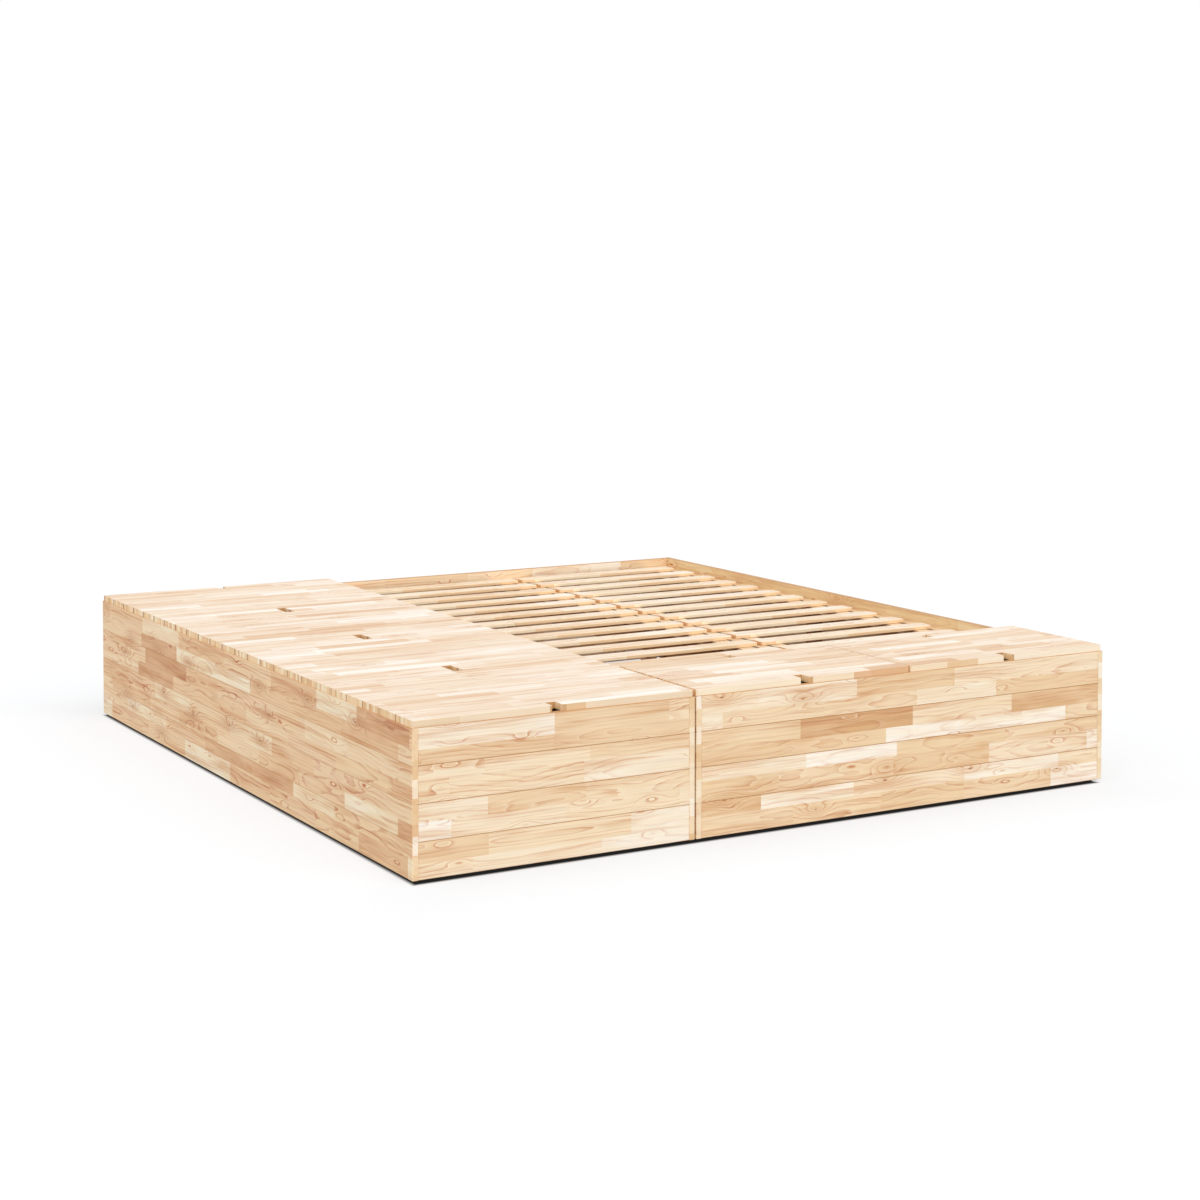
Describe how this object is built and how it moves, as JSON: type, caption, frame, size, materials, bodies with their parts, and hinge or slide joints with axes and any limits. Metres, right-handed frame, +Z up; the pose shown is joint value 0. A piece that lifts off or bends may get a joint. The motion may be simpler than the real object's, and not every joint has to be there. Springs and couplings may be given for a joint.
{
  "type": "tatami platform bed with storage boxes",
  "caption": "Low softwood platform bed: slatted bay for a mattress, with a lidded storage box along one side and another across the foot.",
  "frame": {"origin": "on the floor, under the middle of the outline", "axes": "+X from the side box across the bed, +Y from the foot end to the head end, +Z up"},
  "size_m": [2.276, 2.468, 0.412],
  "materials": {
    "panel_boards": "clear matt oil on finger-jointed, edge-glued softwood",
    "lid_planks": "clear matt oil on finger-jointed, edge-glued softwood",
    "slats": "planed softwood with rounded edges",
    "ledges": "planed softwood",
    "battens": "planed softwood",
    "sheets": "plywood",
    "webbing": "woven band",
    "screw_steel": "zinc plated",
    "bolt_steel": "zinc plated",
    "spacer_plastic": "moulded",
    "glide_plastic": "moulded"
  },
  "bodies": {
    "frame": {"side_outer_panel": "panel_boards", "side_inner_panel": "panel_boards", "side_front_panel": "panel_boards", "side_back_panel": "panel_boards", "side_dividers": "sheets", "side_posts": "battens", "side_divider_battens": "battens", "side_floor_battens": "battens", "side_floor": "sheets", "bed_left_panel": "panel_boards", "bed_right_panel": "panel_boards", "foot_front_panel": "panel_boards", "foot_rear_panel": "panel_boards", "head_panel": "panel_boards", "foot_divider": "sheets", "foot_posts": "battens", "foot_divider_battens": "battens", "foot_floor_battens": "battens", "foot_floor": "sheets", "bay_posts": "battens", "ledge_battens": "battens", "slat_ledges": "ledges", "centre_cap": "ledges", "centre_beam": "battens", "centre_legs": "battens", "slats_left": "slats", "slats_right": "slats", "slat_straps": "webbing", "strap_screws": "screw_steel", "batten_screws": "screw_steel", "side_post_screws": "screw_steel", "bed_post_screws": "screw_steel", "joining_bolts": "bolt_steel", "joining_washers": "bolt_steel", "joining_nuts": "bolt_steel", "joining_spacers": "spacer_plastic", "side_glides": "glide_plastic", "bed_glides": "glide_plastic"},
    "side_lid_1_body": {"side_lid_1": "lid_planks", "side_lid_1_cleats": "battens"},
    "side_lid_2_body": {"side_lid_2": "lid_planks", "side_lid_2_cleats": "battens"},
    "side_lid_3_body": {"side_lid_3": "lid_planks", "side_lid_3_cleats": "battens"},
    "side_lid_4_body": {"side_lid_4": "lid_planks", "side_lid_4_cleats": "battens"},
    "foot_lid_left_body": {"foot_lid_left": "lid_planks", "foot_lid_left_cleats": "battens"},
    "foot_lid_right_body": {"foot_lid_right": "lid_planks", "foot_lid_right_cleats": "battens"}
  },
  "joints": [
    {"name": "side_lid_1_lift", "type": "slide", "parent": "frame", "child": "side_lid_1_body", "axis": [0, 0, 1], "range_m": [0, 0.3]},
    {"name": "side_lid_2_lift", "type": "slide", "parent": "frame", "child": "side_lid_2_body", "axis": [0, 0, 1], "range_m": [0, 0.3]},
    {"name": "side_lid_3_lift", "type": "slide", "parent": "frame", "child": "side_lid_3_body", "axis": [0, 0, 1], "range_m": [0, 0.3]},
    {"name": "side_lid_4_lift", "type": "slide", "parent": "frame", "child": "side_lid_4_body", "axis": [0, 0, 1], "range_m": [0, 0.3]},
    {"name": "foot_lid_left_lift", "type": "slide", "parent": "frame", "child": "foot_lid_left_body", "axis": [0, 0, 1], "range_m": [0, 0.3]},
    {"name": "foot_lid_right_lift", "type": "slide", "parent": "frame", "child": "foot_lid_right_body", "axis": [0, 0, 1], "range_m": [0, 0.3]}
  ]
}
